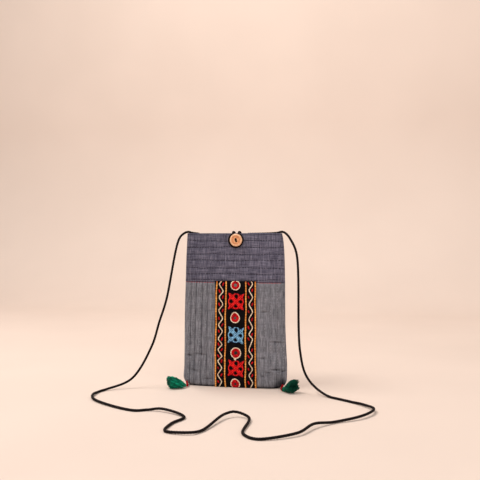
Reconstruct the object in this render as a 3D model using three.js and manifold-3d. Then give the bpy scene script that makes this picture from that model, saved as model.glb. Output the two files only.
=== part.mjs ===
// Phone sling bag: a flat cloth pouch with an embroidered strip on its front, closed by a cord loop
// over a wooden button, with a tassel at each bottom corner and a long cord strap laid in front.
// Millimetres, +Z up, the front faces -Y, the origin is the middle of the base.

import * as THREE from 'three';
import { mergeVertices } from 'three/addons/utils/BufferGeometryUtils.js';
import Module from 'manifold-3d';

const wasm = await Module();
wasm.setup();

// Pouch
const BAG_HEIGHT = 179.6;
const CLOTH = 1.6;
const GAP = 0.3;
const BAND_SEAM = 122.3;
const WALL_COLUMNS = 26;
const BAND_ROWS = 8;
const PANEL_ROWS = 18;
const BACK_ROWS = 22;
const SEAM_FALLOFF = 0.8;
const ROW_CROWDING = 1.4;

// Embroidered strip: its edges lean apart a little towards the base
const PATCH_THICKNESS = 1;
const PATCH_LAP = 1.8;
const PATCH_LEFT_TOP = -20.8;
const PATCH_LEFT_FOOT = -21.2;
const PATCH_RIGHT_TOP = 28.4;
const PATCH_RIGHT_FOOT = 29.2;
const PATCH_COLUMNS = 10;

// Button, its thread and its loop
const BUTTON_X = 4.4;
const BUTTON_Z = 171.6;
const BUTTON_STANDOFF = 2.3;
const BUTTON_HOLE_RADIUS = 0.9;
const BUTTON_HOLE_OFFSET = 1.5;
const BUTTON_SLANT = 1.3;
const BUTTON_FACE = 2;
const BUTTON_SIDES = 28;
const THREAD_RADIUS = 0.55;
const THREAD_SHOULDER = 0.35;
const THREAD_STEPS = 20;
const SHANK_RADIUS = 1.9;
const SHANK_SIDES = 12;
const DRILL_LENGTH = 12;
const LOOP_X = 3.5;
const LOOP_RADIUS = 8.15;
const LOOP_CORD_RADIUS = 1.15;
const LOOP_NECK_HALF = 3.5;
const LOOP_TURN_STEPS = 16;
const LOOP_STEPS_PER_POINT = 2;

// Strap
const STRAP_RADIUS = 1.4;
const STRAP_FLOOR_Z = 1.45;
const STRAP_STEPS_PER_POINT = 4;
const CORD_SIDES = 8;

// Tassels
const TIE_RADIUS = 1.2;
const TIE_STEPS = 5;
const TIE_ROOT_GAP = 1;
const TIE_STRAIGHT = 4;
const TASSEL_SIDES = 14;

// Sections of the pouch: half widths left and right of the middle, half depth at the middle, and how
// square the section is between its side seams
const SECTIONS = [
  { z: 0, left: 51, right: 50.6, depth: 7.6, square: 9 },
  { z: 2, left: 57.4, right: 57, depth: 8.9, square: 8.5 },
  { z: 5, left: 60.6, right: 60.6, depth: 9.8, square: 8 },
  { z: 10, left: 62, right: 62.2, depth: 10.4, square: 7.5 },
  { z: 24, left: 61.2, right: 62.6, depth: 10.9, square: 6.5 },
  { z: 45.4, left: 60.9, right: 61.6, depth: 10.9, square: 5.6 },
  { z: 75.7, left: 60.7, right: 60.5, depth: 10.4, square: 5 },
  { z: 122, left: 59.5, right: 60.2, depth: 9.2, square: 4.6 },
  { z: 151.4, left: 58.6, right: 59.6, depth: 7.7, square: 4.8 },
  { z: 169.6, left: 57.7, right: 58.4, depth: 6.7, square: 5 },
  { z: 179.6, left: 57.2, right: 56.6, depth: 6.4, square: 5 },
];

// Dents of the cloth: middle, half length across, half length up, depth
const FRONT_DENTS = [
  { x: -51, z: 27, across: 9, up: 4, depth: 0.8 },
  { x: 46, z: 42, across: 10, up: 4, depth: 0.9 },
  { x: 52, z: 12, across: 7, up: 5, depth: 1.0 },
  { x: 40, z: 84, across: 8, up: 5, depth: 0.6 },
  { x: -40, z: 104, across: 10, up: 6, depth: 0.6 },
];
const BACK_DENTS = [
  { x: -44, z: 34, across: 12, up: 5, depth: 0.9 },
  { x: 45, z: 52, across: 12, up: 6, depth: 0.8 },
  { x: 4, z: 150, across: 26, up: 8, depth: 0.7 },
];

// Half section of the button about its axis, from the back of the middle round the rim to the face
const BUTTON_PROFILE = [
  { radius: 0, height: 0 },
  { radius: 6.2, height: 0 },
  { radius: 7.05, height: 0.6 },
  { radius: 7.35, height: 1.4 },
  { radius: 7.05, height: 2.4 },
  { radius: 6.3, height: 2.9 },
  { radius: 5.4, height: 2.8 },
  { radius: 4.4, height: 2.2 },
  { radius: 0, height: BUTTON_FACE },
];

// Each strand of the loop, from its sewn end inside the back wall to the front of the rim: distance
// behind the outer edge of the front rim, and height above the rim
const LOOP_STRAND = [
  { behind: 10, above: -9 },
  { behind: 9.8, above: -4 },
  { behind: 8.2, above: 0.6 },
  { behind: 1.6, above: 1.5 },
  { behind: 0, above: 1.4 },
  { behind: -1.2, above: 1.2 },
];

// Route of the strap: sewn end, over the left corner, down, along the surface, and back up
const STRAP_ROUTE = [
  [-43.5, 1.6, 179], [-51.5, 0.3, 180], [-57, -0.3, 181.2], [-61.6, -3.3, 178.9], [-66, -6.6, 172.6],
  [-78.8, -15.9, 101], [-85.8, -20.9, 75.3], [-93.2, -26.3, 47.6], [-112.5, -40.4, 11.2],
  [-135.5, -65.5, 1.5], [-136, -97, 2.4], [-122.5, -124.5, 2], [-62, -165.5, 1.5], [-50, -159, 1.5],
  [-37, -159, 3.2], [-4.5, -183, 1.6], [-7.5, -213, 1.2], [-2, -245.5, 1.6], [22, -247.5, 2.3],
  [28, -236.5, 1.7], [34.5, -175.5, 4.8], [41.5, -165.5, 5.2], [57, -174.5, 3], [67.5, -238.5, 1.2],
  [83.5, -254, 1.4], [114, -231, 3], [124.5, -196, 4.4], [139, -173, 1.7], [163, -146, 3.2],
  [171.5, -112.5, 3.6], [159, -85.5, 2.2], [112, -43, 3.3], [89.5, -25.5, 19.2], [81, -18.7, 46.7],
  [76.3, -15, 156.4], [68.6, -9.1, 172], [62.8, -4.5, 178.6], [57, -0.3, 181.2], [50.5, 0.4, 179.9],
  [15.5, 3.1, 178.7],
];

// Tassels: where the tie leaves the bag, where the head starts, where the skirt ends, how high it stands
const TASSELS = [
  { name: 'left', rootX: -54.5, rootZ: 3, headX: -52.6, headY: -23.5, endX: -69.8, endY: -37.5, lift: 1 },
  { name: 'right', rootX: 57, rootZ: 3.6, headX: 61.9, headY: -20.5, endX: 76.6, endY: -30, lift: 1.1 },
];
const TIE_LIE_Z = 2.1;

// Sections of a tassel along its length, lying on the surface
const TASSEL_SECTIONS = [
  { along: 0, halfWidth: 1.4, centre: 2.3, halfHeight: 1.4 },
  { along: 0.05, halfWidth: 2.6, centre: 3, halfHeight: 2.6 },
  { along: 0.12, halfWidth: 3.1, centre: 3.6, halfHeight: 3.1 },
  { along: 0.19, halfWidth: 3, centre: 3.8, halfHeight: 3.1 },
  { along: 0.24, halfWidth: 3, centre: 4, halfHeight: 3.2 },
  { along: 0.3, halfWidth: 4.2, centre: 4.7, halfHeight: 4.4 },
  { along: 0.42, halfWidth: 5.7, centre: 5.6, halfHeight: 5.6 },
  { along: 0.6, halfWidth: 7.3, centre: 6.5, halfHeight: 6.6 },
  { along: 0.8, halfWidth: 8.6, centre: 7.1, halfHeight: 7.3 },
  { along: 0.94, halfWidth: 9.2, centre: 7.4, halfHeight: 7.7 },
  { along: 1, halfWidth: 9.2, centre: 7.4, halfHeight: 7.6 },
];

const COLOURS = {
  band: 0x645c69,
  panel: 0x767276,
  patch: 0x161214,
  back: 0x645c69,
  black: 0x0c0b0c,
  wood: 0xdfa878,
  red: 0x960812,
  green: 0x04694b,
};

/** A value of a table at height z, on a cubic through its rows whose slopes never overshoot. */
function tableValue(rows, column, z) {
  const last = rows.length - 1;
  const clamped = Math.min(Math.max(z, rows[0].z), rows[last].z);
  let k = 0;
  while (k < last - 1 && clamped > rows[k + 1].z) k += 1;
  const chord = (i) => (rows[i + 1][column] - rows[i][column]) / (rows[i + 1].z - rows[i].z);
  const slope = (i) => {
    if (i === 0) return chord(0);
    if (i === last) return chord(last - 1);
    const before = chord(i - 1);
    const after = chord(i);
    return before * after <= 0 ? 0 : (2 * before * after) / (before + after);
  };
  const span = rows[k + 1].z - rows[k].z;
  const t = (clamped - rows[k].z) / span;
  const start = rows[k][column] * (1 + 2 * t) * (1 - t) ** 2 + slope(k) * span * t * (1 - t) ** 2;
  const end = rows[k + 1][column] * (3 - 2 * t) * t ** 2 - slope(k + 1) * span * (1 - t) * t ** 2;
  return start + end;
}

const leftEdge = (z) => -tableValue(SECTIONS, 'left', z);
const rightEdge = (z) => tableValue(SECTIONS, 'right', z);

/** Distance of the cloth's outer face from the middle plane: full in the middle, one wall at a seam. */
function outerDepth(x, z, dents) {
  const edge = x < 0 ? leftEdge(z) : rightEdge(z);
  const share = Math.min(Math.abs(x / edge), 1);
  const seam = CLOTH + GAP / 2;
  const belly = (1 - share ** tableValue(SECTIONS, 'square', z)) ** SEAM_FALLOFF;
  const full = seam + (tableValue(SECTIONS, 'depth', z) - seam) * belly;
  const dented = dents.reduce((sum, d) => {
    return sum + d.depth * Math.exp(-(((x - d.x) / d.across) ** 2) - ((z - d.z) / d.up) ** 2);
  }, 0);
  return full - dented * belly;
}

/** A geometry from points and triangles. */
function geometryOf(points, triangles) {
  const geometry = new THREE.BufferGeometry();
  geometry.setAttribute('position', new THREE.Float32BufferAttribute(points.flat(), 3));
  geometry.setIndex(triangles.flat());
  geometry.computeVertexNormals();
  return geometry;
}

/**
 * A cloth wall: a grid between two edges and two heights, moved out from the middle plane to its outer
 * face and back by its thickness to its inner face, and closed round its four sides.
 */
function clothWall({ side, dents, bottom, top, rows, columns, left, right, lift = 0, thickness = CLOTH }) {
  const points = [];
  const width = columns + 1;
  const layer = width * (rows + 1);
  for (const depthOffset of [lift, lift - thickness]) {
    for (let j = 0; j <= rows; j += 1) {
      const z = bottom + (top - bottom) * (j / rows) ** ROW_CROWDING;
      for (let i = 0; i <= columns; i += 1) {
        const x = left(z) + (right(z) - left(z)) * (i / columns);
        points.push([x, side * (outerDepth(x, z, dents) + depthOffset), z]);
      }
    }
  }
  const triangles = [];
  const quad = (a, b, c, d) => {
    const facing = side < 0 ? [[a, b, c], [a, c, d]] : [[a, c, b], [a, d, c]];
    triangles.push(...facing);
  };
  for (let j = 0; j < rows; j += 1) {
    for (let i = 0; i < columns; i += 1) {
      const a = j * width + i;
      quad(a, a + 1, a + width + 1, a + width);
      quad(layer + a, layer + a + width, layer + a + width + 1, layer + a + 1);
    }
  }
  for (let i = 0; i < columns; i += 1) {
    const rim = rows * width + i;
    quad(i, layer + i, layer + i + 1, i + 1);
    quad(rim, rim + 1, layer + rim + 1, layer + rim);
  }
  for (let j = 0; j < rows; j += 1) {
    const a = j * width;
    const b = a + columns;
    quad(a, a + width, layer + a + width, layer + a);
    quad(b, layer + b, layer + b + width, b + width);
  }
  return geometryOf(points, triangles);
}

/** A solid for joining and cutting, from a closed geometry. */
function solidOf(geometry) {
  const bare = geometry.clone();
  bare.deleteAttribute('normal');
  bare.deleteAttribute('uv');
  const merged = mergeVertices(bare, 1e-4);
  const mesh = new wasm.Mesh({
    numProp: 3,
    vertProperties: new Float32Array(merged.attributes.position.array),
    triVerts: new Uint32Array(merged.index.array),
  });
  return new wasm.Manifold(mesh);
}

/** A geometry from a joined or cut solid. */
function geometryOfSolid(solid) {
  const mesh = solid.getMesh();
  const geometry = new THREE.BufferGeometry();
  geometry.setAttribute('position', new THREE.BufferAttribute(new Float32Array(mesh.vertProperties), 3));
  geometry.setIndex(new THREE.BufferAttribute(new Uint32Array(mesh.triVerts), 1));
  geometry.computeVertexNormals();
  return geometry;
}

/** A named piece with its own finish. */
function piece(name, geometry, color, roughness = 0.9) {
  const mesh = new THREE.Mesh(geometry, new THREE.MeshStandardMaterial({ color, roughness, metalness: 0 }));
  mesh.name = name;
  return mesh;
}

/** A smooth route through hand-set points that steps from point to point and stays above a floor. */
class CordRoute extends THREE.CatmullRomCurve3 {
  constructor(points, floor) {
    super(points, false, 'centripetal');
    this.floor = floor;
  }

  getPoint(t, target = new THREE.Vector3()) {
    super.getPoint(t, target);
    target.z = Math.max(target.z, this.floor);
    return target;
  }

  getPointAt(u, target) {
    return this.getPoint(u, target);
  }

  getTangentAt(u, target) {
    return this.getTangent(u, target);
  }
}

/** A round cord of a given radius along a route. */
function cord(route, radius, steps) {
  const section = new THREE.Shape(
    Array.from({ length: CORD_SIDES }, (_, k) => {
      const angle = (2 * Math.PI * (k + 0.5)) / CORD_SIDES;
      return new THREE.Vector2(radius * Math.cos(angle), radius * Math.sin(angle));
    }),
  );
  return new THREE.ExtrudeGeometry(section, { steps, extrudePath: route, bevelEnabled: false });
}

/** The flat base: the outline of the lowest section, from behind the front wall to inside the back wall. */
function baseGeometry() {
  const steps = WALL_COLUMNS;
  const across = (i) => leftEdge(0) + (rightEdge(0) - leftEdge(0)) * (i / steps);
  const front = Array.from({ length: steps + 1 }, (_, i) => {
    return new THREE.Vector2(across(i), CLOTH + GAP - outerDepth(across(i), 0, []));
  });
  const back = Array.from({ length: steps + 1 }, (_, i) => {
    return new THREE.Vector2(across(i), outerDepth(across(i), 0, []) - CLOTH / 2);
  });
  const outline = new THREE.Shape([...front, ...back.reverse()]);
  return new THREE.ExtrudeGeometry(outline, { depth: CLOTH, bevelEnabled: false });
}

function pouchPieces() {
  const front = { side: -1, dents: FRONT_DENTS, columns: WALL_COLUMNS, left: leftEdge, right: rightEdge };
  const band = clothWall({ ...front, bottom: BAND_SEAM + GAP / 2, top: BAG_HEIGHT, rows: BAND_ROWS });
  const panelTop = BAND_SEAM - GAP / 2;
  const panel = clothWall({ ...front, bottom: 0, top: panelTop, rows: PANEL_ROWS });
  const lean = (foot, top) => (z) => foot + ((top - foot) * z) / BAND_SEAM;
  const patch = clothWall({
    ...front,
    bottom: 0,
    top: BAND_SEAM + PATCH_LAP,
    rows: PANEL_ROWS,
    columns: PATCH_COLUMNS,
    left: lean(PATCH_LEFT_FOOT, PATCH_LEFT_TOP),
    right: lean(PATCH_RIGHT_FOOT, PATCH_RIGHT_TOP),
    lift: GAP + PATCH_THICKNESS,
    thickness: PATCH_THICKNESS,
  });
  const back = clothWall({
    ...front,
    side: 1,
    dents: BACK_DENTS,
    bottom: 0,
    top: BAG_HEIGHT,
    rows: BACK_ROWS,
  });
  const backAndBase = geometryOfSolid(solidOf(back).add(solidOf(baseGeometry())));
  return [
    piece('front_band', band, COLOURS.band),
    piece('front_panel', panel, COLOURS.panel),
    piece('embroidered_patch', patch, COLOURS.patch),
    piece('back_panel', backAndBase, COLOURS.back),
  ];
}

/** The button, turned about its own axis and drilled twice on a slant. */
function buttonGeometry() {
  const profile = BUTTON_PROFILE.map(({ radius, height }) => new THREE.Vector2(radius, height));
  let turned = solidOf(new THREE.LatheGeometry(profile, BUTTON_SIDES));
  for (const offset of [-BUTTON_HOLE_OFFSET, BUTTON_HOLE_OFFSET]) {
    const drill = new THREE.CylinderGeometry(
      BUTTON_HOLE_RADIUS, BUTTON_HOLE_RADIUS, DRILL_LENGTH, SHANK_SIDES,
    );
    drill.translate(offset * Math.cos(BUTTON_SLANT), 0, offset * Math.sin(BUTTON_SLANT));
    turned = turned.subtract(solidOf(drill));
  }
  return geometryOfSolid(turned);
}

/** The thread: a round shank behind the button, and one stitch from it through both holes. */
function buttonThreadGeometry() {
  const crossing = BUTTON_FACE + THREAD_RADIUS + GAP;
  const shankFoot = -BUTTON_STANDOFF + GAP;
  const shankHeight = -GAP - shankFoot;
  const legFoot = shankFoot + THREAD_RADIUS;
  const shoulder = BUTTON_FACE - THREAD_SHOULDER;
  const halfBridge = BUTTON_HOLE_OFFSET - THREAD_SHOULDER;
  const stitch = [
    { along: -BUTTON_HOLE_OFFSET, height: legFoot },
    { along: -BUTTON_HOLE_OFFSET, height: shoulder },
    { along: -halfBridge, height: crossing },
    { along: halfBridge, height: crossing },
    { along: BUTTON_HOLE_OFFSET, height: shoulder },
    { along: BUTTON_HOLE_OFFSET, height: legFoot },
  ].map(({ along, height }) => {
    return new THREE.Vector3(along * Math.cos(BUTTON_SLANT), height, along * Math.sin(BUTTON_SLANT));
  });
  const route = new CordRoute(stitch, -Infinity);
  const shank = new THREE.CylinderGeometry(SHANK_RADIUS, SHANK_RADIUS, shankHeight, SHANK_SIDES);
  shank.translate(0, shankFoot + shankHeight / 2, 0);
  return geometryOfSolid(solidOf(shank).add(solidOf(cord(route, THREAD_RADIUS, THREAD_STEPS))));
}

/** The button and its thread, turned to face forwards and seated in front of the cloth. */
function buttonPieces() {
  const seat = new THREE.Group();
  const clothY = -outerDepth(BUTTON_X, BUTTON_Z, FRONT_DENTS);
  seat.position.set(BUTTON_X, clothY - BUTTON_STANDOFF, BUTTON_Z);
  seat.rotation.x = Math.PI;
  seat.add(piece('button', buttonGeometry(), COLOURS.wood, 0.5));
  seat.add(piece('button_thread', buttonThreadGeometry(), COLOURS.black, 0.8));
  return seat;
}

/** The loop: from inside the back wall over the front rim, round the button's edge, and back again. */
function loopPiece() {
  const rimDepth = outerDepth(LOOP_X, BAG_HEIGHT, FRONT_DENTS);
  const strand = (sign) => LOOP_STRAND.map(({ behind, above }) => {
    return new THREE.Vector3(LOOP_X + sign * LOOP_NECK_HALF, behind - rimDepth, BAG_HEIGHT + above);
  });
  const neckAngle = Math.acos(LOOP_NECK_HALF / LOOP_RADIUS);
  const sweep = Math.PI + 2 * neckAngle;
  const turn = Array.from({ length: LOOP_TURN_STEPS + 1 }, (_, k) => {
    const angle = Math.PI - neckAngle + (sweep * k) / LOOP_TURN_STEPS;
    const x = LOOP_X + LOOP_RADIUS * Math.cos(angle);
    const z = BUTTON_Z + LOOP_RADIUS * Math.sin(angle);
    return new THREE.Vector3(x, -outerDepth(x, z, FRONT_DENTS) - GAP - LOOP_CORD_RADIUS, z);
  });
  const route = new CordRoute([...strand(-1), ...turn, ...strand(1).reverse()], 0);
  const steps = LOOP_STEPS_PER_POINT * (route.points.length - 1);
  return piece('button_loop', cord(route, LOOP_CORD_RADIUS, steps), COLOURS.black, 0.8);
}

function strapPiece() {
  const points = STRAP_ROUTE.map((place) => new THREE.Vector3(...place));
  const steps = STRAP_STEPS_PER_POINT * (points.length - 1);
  const route = new CordRoute(points, STRAP_FLOOR_Z);
  return piece('strap_cord', cord(route, STRAP_RADIUS, steps), COLOURS.black, 0.8);
}

/** A tassel's outer form: rings across its length, cut flat where they lie on the surface. */
function tasselGeometry({ headX, headY, endX, endY, lift }) {
  const length = Math.hypot(endX - headX, endY - headY);
  const alongX = (endX - headX) / length;
  const alongY = (endY - headY) / length;
  const points = TASSEL_SECTIONS.flatMap(({ along, halfWidth, centre, halfHeight }) => {
    return Array.from({ length: TASSEL_SIDES }, (_, k) => {
      const angle = (2 * Math.PI * k) / TASSEL_SIDES;
      const across = halfWidth * Math.cos(angle);
      const x = headX + alongX * along * length - alongY * across;
      const y = headY + alongY * along * length + alongX * across;
      return [x, y, Math.max(0, lift * (centre + halfHeight * Math.sin(angle)))];
    });
  });
  const triangles = [];
  const rings = TASSEL_SECTIONS.length;
  for (let ring = 0; ring < rings - 1; ring += 1) {
    for (let k = 0; k < TASSEL_SIDES; k += 1) {
      const a = ring * TASSEL_SIDES + k;
      const b = ring * TASSEL_SIDES + ((k + 1) % TASSEL_SIDES);
      triangles.push([a, b, a + TASSEL_SIDES], [b, b + TASSEL_SIDES, a + TASSEL_SIDES]);
    }
  }
  const lastRing = (rings - 1) * TASSEL_SIDES;
  for (let k = 1; k < TASSEL_SIDES - 1; k += 1) {
    triangles.push([0, k + 1, k], [lastRing, lastRing + k, lastRing + k + 1]);
  }
  return geometryOf(points, triangles);
}

/** A tie from the cloth at the bag's corner down to the surface and along it to the tassel's head. */
function tieGeometry({ rootX, rootZ, headX, headY, endX, endY }) {
  const rootY = -outerDepth(rootX, rootZ, FRONT_DENTS) - TIE_ROOT_GAP;
  const alongTassel = new THREE.Vector3(endX - headX, endY - headY, 0).normalize();
  const head = new THREE.Vector3(headX, headY, TIE_LIE_Z);
  const route = new THREE.CatmullRomCurve3([
    new THREE.Vector3(rootX, rootY, rootZ),
    head.clone().addScaledVector(alongTassel, -TIE_STRAIGHT),
    head.clone().addScaledVector(alongTassel, -GAP),
  ]);
  return cord(route, TIE_RADIUS, TIE_STEPS);
}

const bag = new THREE.Group();
bag.add(...pouchPieces(), strapPiece(), buttonPieces(), loopPiece());
for (const tassel of TASSELS) {
  bag.add(piece(`tassel_tie_${tassel.name}`, tieGeometry(tassel), COLOURS.red));
  bag.add(piece(`tassel_${tassel.name}`, tasselGeometry(tassel), COLOURS.green));
}

export default bag;
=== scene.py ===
"""Phone sling bag: a cloth pouch with an embroidered strip, a button and loop, tassels and a cord strap.

Lengths are millimetres in the part's own frame (+Z up, the front faces -Y) and become metres as a mesh
is made. Each piece is a surface on a grid of two parameters, or a profile carried along a path.
"""

import math

import bpy
import numpy as np
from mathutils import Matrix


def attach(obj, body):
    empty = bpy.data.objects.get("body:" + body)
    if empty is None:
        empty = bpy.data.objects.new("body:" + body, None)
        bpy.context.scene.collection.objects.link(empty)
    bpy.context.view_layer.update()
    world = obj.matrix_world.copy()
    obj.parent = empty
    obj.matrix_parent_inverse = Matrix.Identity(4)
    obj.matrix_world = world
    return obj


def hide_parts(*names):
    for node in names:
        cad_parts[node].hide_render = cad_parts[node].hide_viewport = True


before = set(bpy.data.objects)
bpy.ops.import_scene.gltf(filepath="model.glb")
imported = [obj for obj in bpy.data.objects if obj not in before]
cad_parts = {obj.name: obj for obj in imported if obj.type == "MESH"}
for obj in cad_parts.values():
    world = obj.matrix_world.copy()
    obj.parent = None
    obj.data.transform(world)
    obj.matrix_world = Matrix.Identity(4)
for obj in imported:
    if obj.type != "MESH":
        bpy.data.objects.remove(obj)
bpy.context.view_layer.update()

MM = 0.001
TAU = 2 * math.pi
QUARTER = math.pi / 2
FRONT = (0, -1, 0)
DICE = np.random.default_rng(21)

# Camera, in metres and degrees: where it stands, and how far its aim is turned from the origin
CAMERA_AZIMUTH = 14.0
CAMERA_DISTANCE = 1.0
CAMERA_HEIGHT = 0.1768
CAMERA_LENS = 63.9
CAMERA_SENSOR = 36
CAMERA_YAW = 0.37
CAMERA_PITCH = 0.297

# Pouch
BAG_HEIGHT = 179.6
BASE_TOP = 1.6
PANEL_FOOT = 0.1
BASE_SETBACK = 2.0
BAND_SEAM = 122.3
HALF_GAP = 0.15
SEAM_HALF = 1.75
WALL = 1.72
SEAM_FALLOFF = 0.8
BAG_WIDTH = 120.0

# Cloth: steps of its grids across and up, how far inside an edge its relief is full, the pitch of its
# weave, and the stations and roundness of its edges
CLOTH_STEP = 0.66
BAND_STEPS = (0.9, 0.42)
PANEL_STEPS = (0.42, 0.9)
BACK_STEPS = (1.15 * CLOTH_STEP, 0.9)
BASE_STATIONS = 14
FRONT_MARGIN = 2.5
PATCH_MARGIN = 3.0
BACK_MARGIN = 4.0
WEAVE_PITCH = 0.62
EDGE_STATIONS = np.array([0, 0.05, 0.16, 0.34, 0.62, 1.0])
EDGE_ROUNDING = 0.88

# Sections of the pouch: height, half widths left and right, half depth, squareness
SECTIONS = np.array([
    (0, 51, 50.6, 7.6, 9),
    (2, 57.4, 57, 8.9, 8.5),
    (5, 60.6, 60.6, 9.8, 8),
    (10, 62, 62.2, 10.4, 7.5),
    (24, 61.2, 62.6, 10.9, 6.5),
    (45.4, 60.9, 61.6, 10.9, 5.6),
    (75.7, 60.7, 60.5, 10.4, 5),
    (122, 59.5, 60.2, 9.2, 4.6),
    (151.4, 58.6, 59.6, 7.7, 4.8),
    (169.6, 57.7, 58.4, 6.7, 5),
    (179.6, 57.2, 56.6, 6.4, 5),
])
HEIGHTS, LEFT, RIGHT, DEPTH, SQUARE = SECTIONS.T

# Dents of the cloth: x, z, half length across, half length up, depth
FRONT_DENTS = [
    (-51, 27, 9, 4, 0.8),
    (46, 42, 10, 4, 0.9),
    (52, 12, 7, 5, 1.0),
    (40, 84, 8, 5, 0.6),
    (-40, 104, 10, 6, 0.6),
]
BACK_DENTS = [
    (-44, 34, 12, 5, 0.9),
    (45, 52, 12, 6, 0.8),
    (4, 150, 26, 8, 0.7),
]

# Rows of running stitch on the band, and how they waver
STITCH_ROWS = [170.8, 163.2, 154.9, 147.9, 139.1, 132.1, 125.2]
ROW_WAVER = 0.45
ROW_REACH = 1.5
# How far below the rim the band's dark line runs
RIM_LINE_DROP = 1.7
STITCH_PITCH = 3.1
STITCH_LENGTH = 2.1
STITCH_THREAD = 0.34
STITCH_SIDES = 5
STITCH_MARGIN = 2.2
STITCH_JITTER = 0.35
BAND_PUFF = 0.34
BAND_PUCKER = 0.12
BAND_EASE = 5.0

# Shades of both cloths of the front in their middle; the painted light that brightens them towards the
# right edge; how dark and how wide the painted shade is along the band's rows and edges and in the panel's
# creases;
# and how dark and how wide the band's line below the rim and the panel's foot are
BAND_SHADE = 0.46
BAND_PAINTED_LIGHT_SLOPE = 0.055
ROW_PAINTED_SHADE = 0.17
ROW_HALF = 0.6
RIM_LINE_DARK = 0.36
RIM_LINE_HALF = 0.5
EDGE_PAINTED_SHADE = 0.1
RIM_HALF = 1.2
PANEL_SHADE = 0.478
PANEL_PAINTED_LIGHT_SLOPE = 0.033
CREASE_PAINTED_SHADE = 0.32
FOOT_DARK = 0.46
FOOT_HALF = 2.1

# Tucks of the panel: x at the seam, x at the foot, height of the fold, darkness of the painted shade in its
# groove, stronger on the left where the steps face away from the light
TUCKS = [
    (-50.4, -53.1, 0.75, 0.30),
    (-44.1, -47.2, 0.8, 0.35),
    (-36.4, -38.3, 0.8, 0.35),
    (-30.3, -30.8, 0.7, 0.30),
    (-23.6, -24.2, 0.55, 0.16),
    (36.6, 36.9, 0.6, 0.18),
    (42.9, 43.6, 0.65, 0.22),
    (50.5, 51.6, 0.65, 0.20),
    (56.6, 58.4, 0.6, 0.16),
]
TUCK_WIDTH = 2.6
GROOVE_HALF = 0.55
TUCK_STITCH_PITCH = 3.4
TUCK_STITCH_LENGTH = 2.0
TUCK_STITCH_OFFSET = 1.9
TUCK_STITCH_THREAD = 0.2
TUCK_STITCH_MARGIN = 3

# Red stitches of the seam, left and right of the strip: first x, last x, pitch, how deep they sit
SEAM_RUNS = [(-57, -23, 3.3, 0.42), (32, 58, 2.9, 0.3)]
SEAM_STITCH_LENGTH = 2.5
SEAM_STITCH_DROP = 0.45
SEAM_STITCH_THREAD = 0.28

# Creases of the panel: x, z, half length, half width, depth, tilt in degrees
CREASES = [
    (-53, 36, 5, 1.4, 0.8, 4),
    (-39, 38, 8, 1.4, 0.7, -3),
    (-47, 19, 7, 2.2, 0.5, -12),
    (-29, 9.5, 6, 1.3, 0.6, 2),
    (38, 89, 4, 1.3, 0.7, 6),
    (52, 54, 6, 1.4, 0.9, -4),
    (36, 35.4, 5, 1.3, 0.7, 3),
    (52, 22.3, 6, 1.2, 1.1, -2),
    (59, 20.6, 4, 1.1, 0.9, 16),
    (43, 19, 4, 1.2, 0.6, 4),
    (36, 14.4, 1.6, 1.1, 0.7, 0),
]

# Where the right bottom corner is pushed in: x, z, half length across, half length up, depth, darkness of
# the painted shade there
CORNER_FOLD = (57, 4.5, 8, 8, 2.2, 0.46)

# Embroidered strip
PATCH_LIFT = 1.3
PATCH_THICKNESS = 1.0
PATCH_TOP = BAND_SEAM + 1.8
PATCH_LEFT = (-20.8, -21.2)
PATCH_RIGHT = (28.4, 29.2)

# Embroidery: lines of chain stitch as x at the seam and x at the foot
CHAIN_LINES = [(-18.7, -20.2), (-7.4, -8.6), (16.5, 16.0), (27.4, 28.0)]
CHAIN_PITCH = 3.0
CHAIN_WIDTH = 1.85
CHAIN_THREAD = 0.45
SILK_SIDES = 6
LINE_THREAD = 0.35
LINE_WIDTH = 1.35
LINE_PITCH = 2.4
LINK_STEPS = 14
LINK_REACH = 1.06
LINK_LOW = 0.45
LINK_RISE = 0.9

# Waving lines: middle at the seam and at the foot, half swing, side of the first turn, places of the
# seeds left and right of the middle, turn heights
WAVES = [
    {
        "middle": (-13.0, -15.0),
        "swing": 2.5,
        "first": -1,
        "seeds": (-1.9, 2.2),
        "turns": [120.1, 112, 105.1, 96.6, 89.6, 80.3, 72.7, 65.4, 56.4, 50.2, 44, 36.5, 30.8, 22.7, 14.6,
                  6.6],
    },
    {
        "middle": (22.2, 22.5),
        "swing": 2.2,
        "first": 1,
        "seeds": (-2.6, 1.6),
        "turns": [120.9, 113.7, 105.4, 97.3, 88.8, 80, 70.4, 62.5, 57.4, 44.5, 36.9, 29.8, 22.3, 15.1, 6.6],
    },
]
WAVE_ENDS = (127.0, -2.5)
WAVE_ROUNDING = 0.94
SEED_LENGTH = 3.6
SEED_THREAD = 0.36
SEED_THREADS = 3
SEED_LEAN = 22
SEED_JITTER = 14
SEED_SPACING = 0.5

# Ringed eyes: x, z, radius, height of the point, its direction in degrees, middle's shade and radius
EYES = [
    (3.9, 119.1, 6.1, 0.0, 90, 0.55, 1.95),
    (3.7, 81, 6.0, 1.6, 97, 0.2, 1.6),
    (4.7, 40.8, 6.6, 0.5, 264, 0.0, 2.1),
    (3.8, 4.6, 6.0, 0.8, 105, 0.0, 1.4),
]
EYE_OUTLINE = 1.55
EYE_THREAD = 1.3 * LINE_THREAD
EYE_AXIS = (0, -1, 0.02)
EYE_STITCHES = 36
EYE_KNOT = (4.0, 33.3)
KNOT_LOOPS = 3

# Interlaced crosses: x, z, half size, tilt in degrees, thread
CROSSES = [
    (4.7, 100.3, 9.2, -2.5, "red"),
    (4.6, 61.2, 9.2, -3.8, "blue"),
    (4.7, 22.7, 9.1, -3.5, "red"),
]
CROSS_PITCH = 0.86
CROSS_THREAD = 0.4
CROSS_LANES = 5

# Open eyes of a cross, right, up, left and down: distance from its middle, half sizes out and across
CROSS_HOLES = [(5.4, 2.6, 2.2), (5.6, 3.5, 2.3), (5.4, 2.9, 2.6), (5.0, 2.3, 2.5)]

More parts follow.
